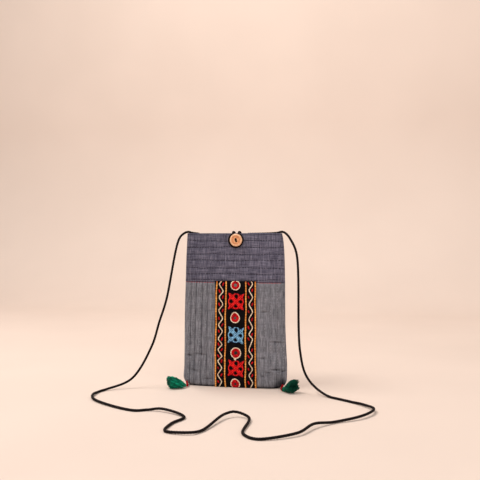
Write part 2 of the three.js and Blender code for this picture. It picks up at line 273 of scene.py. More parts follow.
# Button, its thread and its loop
BUTTON_X = 4.4
BUTTON_Z = 171.6
BUTTON_STANDOFF = 2.3
BUTTON_HOLE = 0.9
BUTTON_HOLE_OFFSET = 1.5
BUTTON_SLANT = 1.3
BUTTON_SIDES = 96
BUTTON_RINGS = 7.5
BUTTON_THREADS = 5
BUTTON_THREAD = 0.38
CROSSING_HALF = 2.1
CROSSING_SPREAD = 0.7
CROSSING_BEND = 0.8
FACE_HEIGHT = 2.5
SHANK_RADIUS = 1.5
SHANK_THREAD = 0.32
SHANK_TURNS = 5
LOOP_X = 3.5
LOOP_RADIUS = 8.15
LOOP_CORD = 1.15
LOOP_NECK_HALF = 3.5
LOOP_STEP = 0.4
LOOP_TURN = 5.5
LOOP_SIDES = 14
LOOP_POINTS = 17
LOOP_AXIS = (0.35, 0.25, 0.9)

# Half section of the button from the middle of its back round the rim to its face: radius, height
BUTTON_PROFILE = np.array([
    (0.02, 0), (6.1, 0), (6.9, 0.45), (7.35, 1.4), (7.1, 2.3), (6.4, 2.78), (5.75, 2.82), (5.25, 2.62),
    (4.95, 2.45), (4.6, 2.46), (4.1, 2.4), (3.4, 2.3), (0.02, 2.2),
])

# Each strand of the loop: distance behind the outer edge of the front rim, height above the rim
LOOP_STRAND = [(10, -9), (9.8, -4), (8.2, 0.6), (1.6, 1.5), (0, 1.4), (-1.2, 1.2)]

# Plies of both cords, and the groove between them as a share of the radius
CORD_PLIES = 3
CORD_GROOVE = 0.2

# Strap, and an axis that no stretch of it runs straight against
STRAP_RADIUS = 1.4
STRAP_FLOOR = 1.45
STRAP_STEP = 0.62
STRAP_SIDES = 22
STRAP_TURN = 9.0
STRAP_AXIS = (-0.65, 0.54, -0.54)
STRAP_ROUTE = [
    (-43.5, 1.6, 179), (-51.5, 0.3, 180), (-57, -0.3, 181.2), (-61.6, -3.3, 178.9), (-66, -6.6, 172.6),
    (-78.8, -15.9, 101), (-85.8, -20.9, 75.3), (-93.2, -26.3, 47.6), (-112.5, -40.4, 11.2),
    (-135.5, -65.5, 1.5), (-136, -97, 2.4), (-122.5, -124.5, 2), (-62, -165.5, 1.5), (-50, -159, 1.5),
    (-37, -159, 3.2), (-4.5, -183, 1.6), (-7.5, -213, 1.2), (-2, -245.5, 1.6), (22, -247.5, 2.3),
    (28, -236.5, 1.7), (34.5, -175.5, 4.8), (41.5, -165.5, 5.2), (57, -174.5, 3), (67.5, -238.5, 1.2),
    (83.5, -254, 1.4), (114, -231, 3), (124.5, -196, 4.4), (139, -173, 1.7), (163, -146, 3.2),
    (171.5, -112.5, 3.6), (159, -85.5, 2.2), (112, -43, 3.3), (89.5, -25.5, 19.2), (81, -18.7, 46.7),
    (76.3, -15, 156.4), (68.6, -9.1, 172), (62.8, -4.5, 178.6), (57, -0.3, 181.2), (50.5, 0.4, 179.9),
    (15.5, 3.1, 178.7),
]

# Ties of the tassels
TIE_RADIUS = 1.2
TIE_LIE = 2.1
TIE_ROOT_GAP = 1.0
TIE_STRAIGHT = 1.6
TIE_THREAD = 0.42
TIE_STEP = 0.07
TIE_CORE_STEP = 0.8

# Tassels: root of the tie (x, z), start of the head and end of the skirt (x, y), place of the neck, how
# much painted light the threads get (low on the right, painted dark as if in the bag's shadow), and
# sections: share of the length, half width, centre height, half height
TASSELS = {
    "left": {
        "root": (-56.5, 4.5),
        "head": (-52.6, -23.5),
        "end": (-69.8, -37.0),
        "neck": 0.165,
        "light": 1.0,
        "sections": np.array([
            (0, 1.4, 2.3, 1.4),
            (0.05, 2.5, 3.2, 2.3),
            (0.11, 2.7, 3.6, 2.5),
            (0.17, 3.1, 3.8, 2.9),
            (0.21, 5.3, 4.4, 4.1),
            (0.28, 7.5, 5.0, 4.8),
            (0.42, 8.6, 5.8, 5.7),
            (0.6, 8.6, 6.9, 6.9),
            (0.8, 8.6, 7.4, 7.3),
            (1, 8.4, 7.6, 7.5),
        ]),
    },
    "right": {
        "root": (58.6, 4.6),
        "head": (61.7, -22.5),
        "end": (77.4, -33.0),
        "neck": 0.225,
        # Painted shadow: this tassel's threads are painted dark, as if in the bag's shadow
        "light": 0.25,
        "sections": np.array([
            (0, 1.4, 2.6, 1.4),
            (0.06, 2.5, 3.1, 2.5),
            (0.14, 2.9, 3.3, 2.8),
            (0.23, 2.8, 3.4, 2.8),
            (0.29, 3.2, 3.8, 3.2),
            (0.4, 5.2, 4.9, 4.8),
            (0.6, 7.6, 6.5, 6.5),
            (0.8, 9.8, 7.8, 7.8),
            (1, 11, 8.8, 8.8),
        ]),
    },
}
TASSEL_STRANDS = 420
TASSEL_BUNCHES = 15
TASSEL_THREAD = 0.42
CAP_STRANDS = 30
CAP_THREAD = 0.4
NECK_TURNS = 4
NECK_THREAD = 0.36

# Backdrop: how far it reaches, where it starts to turn up, and the radius of that turn
STAGE_REACH = 2600
STAGE_BEND = 900
STAGE_RADIUS = 500

# Lights, in metres: name, place, aim, width and height, watts, colour
LIGHTS = [
    ("key", (-0.87, -0.45, 1.5), (0, 0, 0.06), (1.2, 0.3), 18.5, (1.0, 0.96, 0.92)),
    ("fill", (1.3, -1.2, 0.9), (0, 0, 0.08), (1.4, 1.4), 7.5, (1.0, 0.98, 0.98)),
    ("front", (0.25, -1.6, 1.0), (0, 0, 0.08), (1.2, 1.2), 6.5, (1.0, 0.98, 0.97)),
    ("paper", (-0.45, 0.5, 1.9), (0.8, 1.3, 0.4), (0.8, 0.4), 16.5, (1.0, 0.98, 0.95)),
]
WORLD_COLOUR = (0.985, 1.0, 0.99, 1)
WORLD_STRENGTH = 0.36


# Curves and tables

def unit(vectors):
    """Vectors divided by their own lengths."""
    return vectors / np.linalg.norm(vectors, axis=-1, keepdims=True)


def turned(u, v, angle):
    """Flat coordinates turned about their origin by an angle."""
    c, s = np.cos(angle), np.sin(angle)
    return u * c - v * s, u * s + v * c


def bell(distance, half):
    """A bell curve of height 1: the exponential of minus the square of a distance in half widths."""
    return np.exp(-(distance / half) ** 2)


def points_at(x, y, z):
    """Points of three coordinates, each spread over the grid of the others."""
    return np.stack(np.broadcast_arrays(x, y, z), -1)


def round_angles(count):
    """Even angles round a full turn."""
    return TAU * np.arange(count) / count


def table_value(at, stations, values):
    """A table's value between its rows: a cubic whose slope at a row is the harmonic mean of the chords
    beside it, or none where these differ in sign, so that the curve never overshoots."""
    chord = np.diff(values) / np.diff(stations)
    product = chord[:-1] * chord[1:]
    total = np.where(product > 0, chord[:-1] + chord[1:], 1)
    slope = np.concatenate([chord[:1], np.where(product > 0, 2 * product / total, 0), chord[-1:]])
    at = np.clip(at, stations[0], stations[-1])
    k = np.clip(np.searchsorted(stations, at) - 1, 0, len(stations) - 2)
    span = stations[k + 1] - stations[k]
    t = (at - stations[k]) / span
    start = values[k] * (1 + 2 * t) * (1 - t) ** 2 + slope[k] * span * t * (1 - t) ** 2
    end = values[k + 1] * (3 - 2 * t) * t ** 2 - slope[k + 1] * span * (1 - t) * t ** 2
    return start + end


def smooth_route(points, per_span=60):
    """A centripetal Catmull-Rom curve: in each span, knots at the square roots of the point distances,
    and a cubic whose end tangents come from the neighbouring points."""
    p = np.asarray(points, float)
    p = np.concatenate([[2 * p[0] - p[1]], p, [2 * p[-1] - p[-2]]])
    knot = np.sqrt(np.linalg.norm(np.diff(p, axis=0), axis=1))[:, None]
    before, within, after = knot[:-2], knot[1:-1], knot[2:]
    p0, p1, p2, p3 = p[:-3], p[1:-2], p[2:-1], p[3:]
    leave = ((p1 - p0) / before - (p2 - p0) / (before + within) + (p2 - p1) / within) * within
    arrive = ((p2 - p1) / within - (p3 - p1) / (within + after) + (p3 - p2) / after) * within
    t = (np.arange(per_span) / per_span)[None, :, None]
    c2 = (-3 * p1 + 3 * p2 - 2 * leave - arrive)[:, None]
    c3 = (2 * p1 - 2 * p2 + leave + arrive)[:, None]
    curve = p1[:, None] + leave[:, None] * t + c2 * t ** 2 + c3 * t ** 3
    return np.concatenate([curve.reshape(-1, p.shape[1]), p[-2:-1]])


def running_length(path):
    """The length along a path up to each of its points."""
    return np.concatenate([[0], np.cumsum(np.linalg.norm(np.diff(path, axis=0), axis=1))])


def evenly(path, pitch):
    """Points about a pitch apart along a dense path, by its running length."""
    run = running_length(path)
    count = max(int(round(run[-1] / pitch)), 2)
    at = np.linspace(0, run[-1], count + 1)
    return np.stack([np.interp(at, run, column) for column in path.T], -1)


# Meshes

def grid_faces(rows, columns, wrap_rows=False, wrap_columns=False):
    """Quads between neighbouring points of a grid that is numbered row by row."""
    row, column = np.meshgrid(
        np.arange(rows - (not wrap_rows)), np.arange(columns - (not wrap_columns)), indexing="ij")
    below, above = row * columns, (row + 1) % rows * columns
    following = (column + 1) % columns
    return np.stack([below + column, below + following, above + following, above + column],
                    -1).reshape(-1, 4)


def frames(tangents, axis):
    """Two unit vectors across each tangent: a pair across the axis, turned by the smallest turn that
    takes the axis to the tangent. No tangent may point straight against the axis."""
    axis = unit(np.asarray(axis, float))
    first = unit(np.cross(axis, (0.31, 0.87, 0.41)))
    second = np.cross(axis, first)
    share = 1 / (1 + tangents @ axis)
    return [v - ((tangents @ v) * share)[..., None] * (axis + tangents) for v in (first, second)]


def tubes(paths, radius, sides, axis, closed=False, shade=None):
    """Threads side by side in one mesh: a ring of points across each point of each path, at a radius
    that may differ by thread, step and side; open threads get a flat end at both ends. The shade is
    one for each thread, or one for each of its points."""
    strands, steps = paths.shape[:2]
    if closed:
        tangents = unit(np.roll(paths, -1, 1) - np.roll(paths, 1, 1))
    else:
        tangents = unit(np.gradient(paths, axis=1))
    across, up = frames(tangents, axis)
    angle = round_angles(sides)[:, None]
    ring = np.cos(angle) * across[:, :, None] + np.sin(angle) * up[:, :, None]
    radius = np.broadcast_to(np.asarray(radius, float), (strands, steps, sides))
    points = (paths[:, :, None] + radius[..., None] * ring).reshape(-1, 3)
    first = np.arange(strands)[:, None, None] * steps * sides
    quads = (grid_faces(steps, sides, closed, True)[None] + first).reshape(-1, 4)
    faces = [quads]
    if not closed:
        turn = np.arange(sides)[None]
        faces.append(first[:, 0] + turn[:, ::-1])
        faces.append(first[:, 0] + (steps - 1) * sides + turn)
    tone = np.full((strands, 1), 0.5) if shade is None else shade.reshape(strands, -1)
    return points, faces, np.repeat(np.broadcast_to(tone, (strands, steps)), sides)


def closed_sheet(outer, inner, tone=0.5):
    """A closed body between two grids of one size: the rows of the outer grid and then those of the
    inner one backwards make a ring, and a strip of quads fills each of its two ends."""
    rows, columns = outer.shape[:2]
    points = np.concatenate([outer, inner[::-1]]).reshape(-1, 3)
    row = np.arange(rows - 1)
    strip = np.stack([row, row + 1, 2 * rows - 2 - row, 2 * rows - 1 - row], -1) * columns
    ring = grid_faces(2 * rows, columns, wrap_rows=True)
    tone = np.broadcast_to(tone, (rows, columns))
    faces = [ring, strip, strip[:, ::-1] + columns - 1]
    return points, faces, np.concatenate([tone, tone[::-1]]).reshape(-1)


def joined(parts):
    """Several meshes as one, with the face numbers of each moved past the points before it."""
    points, faces, shades = zip(*parts)
    starts = np.cumsum([0] + [len(array) for array in points])
    moved = [array + start for start, arrays in zip(starts, faces) for array in arrays]
    return np.concatenate(points), moved, np.concatenate(shades)


def mesh_of(name, points, faces):
    """A mesh in metres, from points in millimetres and arrays of faces."""
    mesh = bpy.data.meshes.new(name)
    mesh.from_pydata(points * MM, [], [face for array in faces for face in array.tolist()])
    return mesh


def add_object(name, data):
    """Makes an object at the origin and puts it in the scene."""
    made = bpy.data.objects.new(name, data)
    bpy.context.scene.collection.objects.link(made)
    return made


def add_piece(name, surface, material, stands_for=()):
    """Makes the piece of a surface, with its shade for each point, and fastens it to the part."""
    points, faces, shade = surface
    mesh = mesh_of(name, points, faces)
    mesh.attributes.new("shade", "FLOAT", "POINT").data.foreach_set("value", shade.astype(np.float32))
    mesh.shade_smooth()
    mesh.materials.append(material)
    piece = add_object(name, mesh)
    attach(piece, "root")
    if stands_for:
        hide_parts(*stands_for)
    return piece


# Materials

class Finish:
    """A material with one shader, and short ways to make the nodes that feed it."""

    def __init__(self, name, roughness, specular):
        self.material = bpy.data.materials.new(name)
        self.material.use_nodes = True
        self.tree = self.material.node_tree
        self.shader = self.tree.nodes["Principled BSDF"]
        self.shader.inputs["Roughness"].default_value = roughness
        self.shader.inputs["Specular IOR Level"].default_value = specular

    def feed(self, socket, value):
        """Links a socket to another node's output, or sets it to a value."""
        if isinstance(value, bpy.types.NodeSocket):
            self.tree.links.new(value, socket)
        else:
            socket.default_value = value

    def node(self, kind, **inputs):
        """A node of a kind, with its sockets fed by name."""
        made = self.tree.nodes.new("ShaderNode" + kind)
        for name, value in inputs.items():
            self.feed(made.inputs[name], value)
        return made

    def place(self, scale=(1, 1, 1), location=(0, 0, 0), turn=0.0):
        """The piece's own coordinates in millimetres, moved, turned about Y and scaled."""
        source = self.node("TexCoord").outputs["Object"]
        moved = self.node("Mapping", Vector=source, Scale=(1 / MM,) * 3, Location=location).outputs[0]
        return self.node("Mapping", Vector=moved, Scale=scale, Rotation=(0, turn, 0)).outputs[0]

    def noise(self, vector, scale=1.0, detail=2.0, roughness=0.5):
        """Soft noise of 0 to 1 over the coordinates."""
        made = self.node("TexNoise", Vector=vector, Scale=scale, Detail=detail, Roughness=roughness)
        return made.outputs["Fac"]

    def shade(self):
        """The shade that the mesh holds for each point."""
        made = self.node("Attribute")
        made.attribute_name = "shade"
        return made.outputs["Fac"]

    def math(self, operation, first, second=0.0, third=0.0):
        """One operation on up to three values or outputs."""
        made = self.tree.nodes.new("ShaderNodeMath")
        made.operation = operation
        for socket, value in zip(made.inputs, (first, second, third)):
            self.feed(socket, value)
        return made.outputs[0]

    def total(self, weighted):
        """The sum of outputs, each times its weight."""
        result = 0.0
        for output, weight in weighted:
            result = self.math("MULTIPLY_ADD", output, weight, result)
        return result

    def waves(self, vector, pitch):
        """A sine of each coordinate in millimetres, one wave a pitch: (x, y, z)."""
        split = self.node("SeparateXYZ", Vector=vector)
        return [self.math("SINE", self.math("MULTIPLY", out, TAU / pitch)) for out in split.outputs]

    def ramp(self, factor, stops):
        """A colour by a factor: stops are (place, colour)."""
        made = self.node("ValToRGB", Fac=factor)
        elements = made.color_ramp.elements
        while len(elements) < len(stops):
            elements.new(0.5)
        for element, (place, colour) in zip(elements, stops):
            element.position = place
            element.color = (*linear(colour), 1)
        return made.outputs["Color"]

    def multiply(self, share, first, second):
        """A colour times a share of another."""
        made = self.node("MixRGB", Fac=share, Color1=first, Color2=second)
        made.blend_type = "MULTIPLY"
        return made.outputs[0]

    def colour(self, output):
        """Gives the shader its colour."""
        self.feed(self.shader.inputs["Base Color"], output)

    def bump(self, height, distance, strength):
        """Gives the shader its relief, of a height times a distance in millimetres."""
        made = self.node("Bump", Height=height, Distance=distance * MM, Strength=strength)
        self.feed(self.shader.inputs["Normal"], made.outputs[0])


def linear(colour):
    """A screen colour of 0 to 255 as linear light."""
    c = np.asarray(colour, float) / 255
    return tuple(np.where(c <= 0.04045, c / 12.92, ((c + 0.055) / 1.055) ** 2.4))


def handloom(name, dark, middle, light, warp, weft, contrast):
    """Handloom cloth: uneven warp and weft yarns as long thin flecks, a plain weave, and slow mottling;
    darker where the mesh holds a low shade; on the front this is mostly painted shade in grooves, creases
    and at edges, and painted light that brightens it towards the right."""
    cloth = Finish(name, 0.95, specular=0.06)
    flat = cloth.place(scale=(1, 0, 1))
    yarn_up = cloth.noise(cloth.place(scale=(1.2, 0, 0.05)), 1.0, 2)
    yarn_across = cloth.noise(cloth.place(scale=(0.08, 0, 1.1), location=(7, 0, 3)), 1.0, 2)
    slub_up = cloth.noise(cloth.place(scale=(0.6, 0, 0.14), location=(1, 0, 9)), 1.0, 1)
    fleck = cloth.noise(flat, 0.9, 3, 0.7)
    mottle = cloth.noise(flat, 0.07, 2)
    over_x, _, over_z = cloth.waves(flat, WEAVE_PITCH)
    weave = cloth.math("MULTIPLY", over_x, over_z)
    tone = cloth.total([
        (yarn_up, warp), (yarn_across, weft), (slub_up, warp * 0.6), (fleck, 0.4), (mottle, 0.3),
        (weave, 0.035),
    ])
    middle_tone = (warp * 1.6 + weft + 0.7) / 2
    half_range = 0.34 * (warp + weft + 0.35) / contrast
    above = cloth.math("SUBTRACT", tone, middle_tone)
    share = cloth.math("MULTIPLY_ADD", above, 1 / (2 * half_range), 0.5)
    woven = cloth.ramp(share, [(0.0, dark), (0.5, middle), (1.0, light)])
    # Painted shade and light: the woven colour times a grey from the mesh's shade, neutral at one half
    groove = cloth.ramp(cloth.shade(), [(0.0, (60, 58, 62)), (0.5, (255, 255, 255))])
    cloth.colour(cloth.multiply(1.0, woven, groove))
    height = cloth.total([(weave, 0.35), (yarn_up, 0.9), (yarn_across, 0.7), (fleck, 0.5)])
    cloth.bump(height, 0.4, 0.8)
    return cloth.material


def thread(name, dark, light, roughness):
    """Spun thread: a colour between two by the shade that the mesh holds, a random tone for each strand
    and, on some threads, painted shade and painted light, with fine fibres in colour and height.
    """
    spun = Finish(name, roughness, specular=0.12)
    fibre = spun.noise(spun.place(), 5.0, 3, 0.65)
    tone = spun.total([(spun.shade(), 0.6), (fibre, 0.5)])
    spun.colour(spun.ramp(tone, [(0.2, dark), (0.85, light)]))
    spun.bump(fibre, 0.12, 0.5)
    return spun.material


def turned_wood():
    """Turned wood: straight grain across the button and browner wood in its turned grooves."""
    wood = Finish("turned_wood", 0.42, specular=0.4)
    local = wood.place(location=(-BUTTON_X, 0, -BUTTON_Z))
    grain = wood.noise(wood.place(scale=(0.16, 0.5, 2.2), turn=0.35), 1.0, 4, 0.6)
    split = wood.node("SeparateXYZ", Vector=local)
    flat = wood.node("CombineXYZ", X=split.outputs[0], Z=split.outputs[2])
    reach = wood.node("VectorMath", Vector=flat.outputs[0])
    reach.operation = "LENGTH"
    radius = wood.math("DIVIDE", reach.outputs["Value"], BUTTON_RINGS)
    rings = wood.ramp(radius, [
        (0.0, (236, 180, 132)), (0.34, (240, 184, 136)), (0.5, (230, 162, 112)), (0.64, (224, 150, 102)),
        (0.76, (242, 194, 150)), (0.9, (252, 212, 172)), (1.0, (236, 182, 140)),
    ])
    patch = wood.noise(wood.place(scale=(0.42, 0, 0.42)), 1.0, 3, 0.6)
    streak = wood.ramp(wood.total([(grain, 0.4), (patch, 0.6)]),
                       [(0.38, (186, 108, 62)), (0.56, (255, 246, 236))])
    wood.colour(wood.multiply(0.6, rings, streak))
    wood.bump(grain, 0.15, 0.3)
    return wood.material


def backdrop_paper():
    """Plain pale paper, a little uneven."""
    paper = Finish("backdrop_paper", 0.9, specular=0.1)
    cloud = paper.noise(paper.place(), 0.004, 2)
    paper.colour(paper.ramp(cloud, [(0.3, (224, 204, 191)), (0.7, (228, 208, 195))]))
    return paper.material


SLATE_CLOTH = handloom("slate_cloth", (65, 63, 76), (105, 101, 118), (148, 143, 160), 1.0, 0.9, 2.0)
GREY_CLOTH = handloom("grey_cloth", (94, 94, 101), (133, 132, 139), (168, 166, 173), 1.0, 0.4, 1.9)
BLACK_CLOTH = handloom("black_cloth", (7, 5, 7), (16, 13, 15), (30, 26, 28), 0.5, 0.5, 1.5)
BLACK_CORD = thread("black_cord", (3, 1, 2), (24, 12, 13), 0.7)
BLACK_THREAD = thread("black_thread", (3, 3, 3), (14, 12, 13), 0.7)
SLATE_THREAD = thread("slate_thread", (34, 31, 39), (72, 68, 79), 0.85)
GREY_THREAD = thread("grey_thread", (64, 62, 66), (106, 104, 108), 0.85)
SEAM_THREAD = thread("seam_thread", (150, 22, 40), (196, 66, 80), 0.85)
RED_THREAD = thread("red_thread", (104, 0, 6), (176, 4, 16), 0.7)
GREEN_THREAD = thread("green_thread", (0, 34, 26), (16, 166, 126), 0.6)
RED_SILK = thread("red_silk", (150, 0, 6), (255, 40, 38), 0.5)
DEEP_RED_SILK = thread("deep_red_silk", (132, 0, 8), (218, 14, 22), 0.5)
BLUE_SILK = thread("blue_silk", (4, 42, 88), (150, 206, 240), 0.5)
ORANGE_SILK = thread("orange_silk", (192, 84, 14), (255, 186, 96), 0.5)
CREAM_SILK = thread("cream_silk", (208, 160, 124), (255, 240, 214), 0.5)
EYE_GREY = thread("eye_grey", (10, 15, 16), (146, 138, 132), 0.5)


# Camera

def add_camera():
    """A nearly level camera at the photograph's height and distance, aimed a little off the origin."""
    camera = add_object("camera", bpy.data.cameras.new("camera"))
    camera.data.lens = CAMERA_LENS
    camera.data.sensor_width = CAMERA_SENSOR
    angle = math.radians(CAMERA_AZIMUTH)
    camera.location = (CAMERA_DISTANCE * math.sin(angle), -CAMERA_DISTANCE * math.cos(angle), CAMERA_HEIGHT)
    camera.rotation_euler = (math.radians(90 - CAMERA_PITCH), 0, math.radians(CAMERA_AZIMUTH - CAMERA_YAW))
    bpy.context.scene.camera = camera


# Cords

def twisted_cord(path, radius, turn, sides, axis):
    """A laid cord: its section is round with a groove between plies, and turns once along each turn."""
    angle = round_angles(sides) - TAU * running_length(path)[:, None] / turn
    ridge = np.abs(np.cos(CORD_PLIES * angle / 2)) ** 0.7
    return tubes(path[None], radius * (1 - CORD_GROOVE + CORD_GROOVE * ridge)[None], sides, axis)


def add_strap():
    """The strap, along its route at even steps and never below the surface that it lies on."""
    dense = smooth_route(STRAP_ROUTE)
    dense[:, 2] = np.maximum(dense[:, 2], STRAP_FLOOR)
    path = evenly(dense, STRAP_STEP)
    surface = twisted_cord(path, STRAP_RADIUS, STRAP_TURN, STRAP_SIDES, STRAP_AXIS)
    strap = add_piece("strap", surface, BLACK_CORD, ["strap_cord"])


# Cloth

def edges(z):
    """The pouch's left and right edges at a height, from its sections."""
    return -table_value(z, HEIGHTS, LEFT), table_value(z, HEIGHTS, RIGHT)


def slant(ends, z):
    """A line on the front, straight from its x at the seam to its x at the foot."""
    top, foot = ends
    return foot + (top - foot) * z / BAND_SEAM


def outer_depth(x, z, dents):
    """Distance of the outer face from the middle plane: one wall at a side seam, the section's depth in
    the middle, falling off by a power of the share of the width, less a bell for each dent."""
    left, right = edges(z)
    share = np.minimum(np.abs(x / np.where(x < 0, left, right)), 1)
    belly = (1 - share ** table_value(z, HEIGHTS, SQUARE)) ** SEAM_FALLOFF
    sunk = sum(depth * bell(x - dx, across) * bell(z - dz, up) for dx, dz, across, up, depth in dents)
    return SEAM_HALF + (table_value(z, HEIGHTS, DEPTH) - SEAM_HALF - sunk) * belly


def front_depth(x, z):
    """Distance of the front's plain outer face from the middle plane."""
    return outer_depth(x, z, FRONT_DENTS)


def spread(start, end, step):
    """Stations about a step apart, with closer ones at both ends for a round edge."""
    middle = np.linspace(start + EDGE_STATIONS[-1], end - EDGE_STATIONS[-1], int((end - start) / step))
    return np.concatenate([start + EDGE_STATIONS[:-1], middle, end - EDGE_STATIONS[-2::-1]])


def edge_to_edge(left, right, width, step):
    """Stations from one edge to the other, about a step apart on a width."""
    return left + (right - left) * (spread(0, width, step) / width)


def inset(x, z, left, right, bottom, top):
    """Distance from the nearest edge of a sheet."""
    return np.minimum(np.minimum(x - left, right - x), np.minimum(z - bottom, top - z))


def edge_ease(distance, thickness):
    """How far each face draws in near an edge: a quarter circle of half the wall's thickness."""
    near = 1 - np.clip(distance / (thickness / 2), 0, 1)
    return EDGE_ROUNDING * thickness / 2 * (1 - np.sqrt(1 - near ** 2))


def unevenness(x, z, seed):
    """Slow, low waves of hand-woven cloth: a sum of sines in several directions."""
    return 0.1 * (np.sin(x / 7.3 + z / 19 + seed) + np.sin(x / 17 - z / 9.1 + 2.1 * seed)
                  + np.sin(x / 4.7 + z / 5.9 + 3.3 * seed) * 0.5)


def row_height(index, x):
    """A row of running stitch: its height with two slow waves."""
    waver = np.sin(x / 13 + 1.7 * index) + 0.6 * np.sin(x / 5.1 + 2.9 * index)
    return STITCH_ROWS[index] + ROW_WAVER * waver


def nearest_row(x, z):
    """Distance to the nearest row of running stitch, and which row that is."""
    distance = np.stack([np.abs(z - row_height(k, x)) for k in range(len(STITCH_ROWS))])
    return distance.min(0), distance.argmin(0)


def band_relief(x, z):
    """The band stands out between its rows of stitch and puckers beside them, and is flat at its seam."""
    near, row = nearest_row(x, z)
    beside = bell(near, ROW_REACH)
    pucker = BAND_PUCKER * np.cos(TAU * x / STITCH_PITCH + 1.3 * row) * beside
    relief = BAND_PUFF * (1 - beside) + pucker + unevenness(x, z, 0.4)
    return relief * np.clip((z - BAND_SEAM) / BAND_EASE, 0, 1)


def band_painted_shade(x, z):
    """Painted light and shade on the band: painted light, brighter towards the right; painted shade
    in the puckers along its rows of stitch and close to the rim and the seam; and a dark line just below
    the rim. The rows and the line come and go along their length."""
    near, row = nearest_row(x, z)
    dash = 0.6 + 0.4 * np.cos(TAU * x / STITCH_PITCH + 1.3 * row)
    fade = 0.7 + 0.3 * np.sin(x / 9 + 1.9 * row)
    # Painted shade in the puckers along the rows of stitch, in dashes at the stitches' pitch
    rows = ROW_PAINTED_SHADE * dash * fade * bell(near, ROW_HALF)
    # Painted shade close to the rim and the seam
    rim = EDGE_PAINTED_SHADE * bell(np.minimum(BAG_HEIGHT - z, z - BAND_SEAM), RIM_HALF)
    # A dark line just below the rim, stronger in patches
    rim_line = RIM_LINE_DARK * (0.6 + 0.4 * np.sin(x / 17 - 0.5)) * bell(BAG_HEIGHT - RIM_LINE_DROP - z, RIM_LINE_HALF)
    # Painted light: brighter towards the right edge
    return BAND_SHADE + BAND_PAINTED_LIGHT_SLOPE * x / (BAG_WIDTH / 2) - rows - rim - rim_line


def crease_bells(x, z):
    """Each crease's place across it in half widths, and its bell along and across."""
    for crease_x, crease_z, half_length, half_width, depth, tilt in CREASES:
        along, over = turned(x - crease_x, z - crease_z, -math.radians(tilt))
        yield over / half_width, depth * bell(along, half_length) * bell(over, half_width)


def corner_bell(x, z):
    """The pushed-in corner's bell."""
    fold_x, fold_z, across, up, _, _ = CORNER_FOLD
    return bell(x - fold_x, across) * bell(z - fold_z, up)


def panel_relief(x, z):
    """Tucks with their folds towards the strip: a step at the line that fades outwards as a bell; and
    creases, each a furrow with a lip above it."""
    relief = unevenness(x, z, 1.9) - CORNER_FOLD[4] * corner_bell(x, z)
    for tuck in TUCKS:
        outwards = (x - slant(tuck[:2], z)) * np.sign(tuck[0])
        relief = relief + tuck[2] * np.where(outwards > 0, bell(outwards, TUCK_WIDTH), 0)
    for over, depth in crease_bells(x, z):
        relief = relief - depth * (1 - 1.3 * over)
    return relief


def panel_painted_shade(x, z):
    """Painted light and shade on the panel: painted light, brighter towards the right; painted shade in the
    groove of each tuck, in its creases and at its pushed-in corner; and darker close to its foot. The
    grooves come and go along their length."""
    # Painted light: brighter towards the right edge
    tone = PANEL_SHADE + PANEL_PAINTED_LIGHT_SLOPE * x / (BAG_WIDTH / 2)
    # Painted shade at the pushed-in corner, and darker close to the foot
    tone = tone - CORNER_FOLD[5] * corner_bell(x, z) - FOOT_DARK * bell(z, FOOT_HALF)
    # Painted shade in the groove of each tuck, coming and going along its length
    for k, tuck in enumerate(TUCKS):
        fade = 0.75 + 0.25 * np.sin(z / 7 + 1.9 * k) * np.sin(z / 2.3 + k)
        tone = tone - tuck[3] * fade * bell(x - slant(tuck[:2], z), GROOVE_HALF)
    # Painted shade in the furrow of each crease
    for over, depth in crease_bells(x, z):
        tone = tone - CREASE_PAINTED_SHADE * depth * bell(over, 1)
    return np.clip(tone, 0, 1)


def front_wall(bottom, top, steps, relief, tone):
    """A wall of the front between two heights: the pouch's outer face with its relief, and its inner
    face, both drawn in round the wall's edge."""
    step_across, step_up = steps
    z = spread(bottom, top, step_up)[:, None]
    left, right = edges(z)
    x = edge_to_edge(left, right, BAG_WIDTH, step_across)
    distance = inset(x, z, left, right, bottom, top)
    ease = edge_ease(distance, WALL)
    plain = front_depth(x, z)
    outer = plain + relief(x, z) * np.clip(distance / FRONT_MARGIN, 0, 1) - ease
    inner = plain - WALL + ease
    return closed_sheet(points_at(x, -outer, z), points_at(x, -inner, z), tone(x, z))


def back_wall():
    """The back and the base in one: from the front edge of the base, behind the panel, back along it and
    up to the mouth, once outside and once inside."""
    step_across, step_up = BACK_STEPS
    base = np.linspace(0, 1, BASE_STATIONS)
    up = spread(0, BAG_HEIGHT, step_up)[1:]
    climb = np.concatenate([np.zeros(len(base)), up])[:, None]
    climb_inside = BASE_TOP + climb * (BAG_HEIGHT - BASE_TOP) / BAG_HEIGHT
    flat = np.concatenate([base, np.ones(len(up))])[:, None]
    sheets = []
    for z, inside in ((climb, False), (climb_inside, True)):
        left, right = edges(z)
        x = edge_to_edge(right, left, BAG_WIDTH, step_across)
        plain = outer_depth(x, z, BACK_DENTS)
        distance = inset(x, z, left, right, -np.inf, BAG_HEIGHT)
        ease = edge_ease(distance, WALL) * (flat == 1)
        margin = np.clip(distance / BACK_MARGIN, 0, 1) * np.clip(z / BACK_MARGIN, 0, 1)
        back = plain - WALL + ease if inside else plain - ease + unevenness(x, z, 3.1) * margin
        front = BASE_SETBACK - plain
        y = front + (back - front) * flat
        sheets.append(points_at(x, y, z))
    return closed_sheet(*sheets)


def on_patch(x, z, lift):
    """Points in front of the strip's face, at a lift above it."""
    return points_at(x, -(front_depth(x, z) + PATCH_LIFT + lift), z)


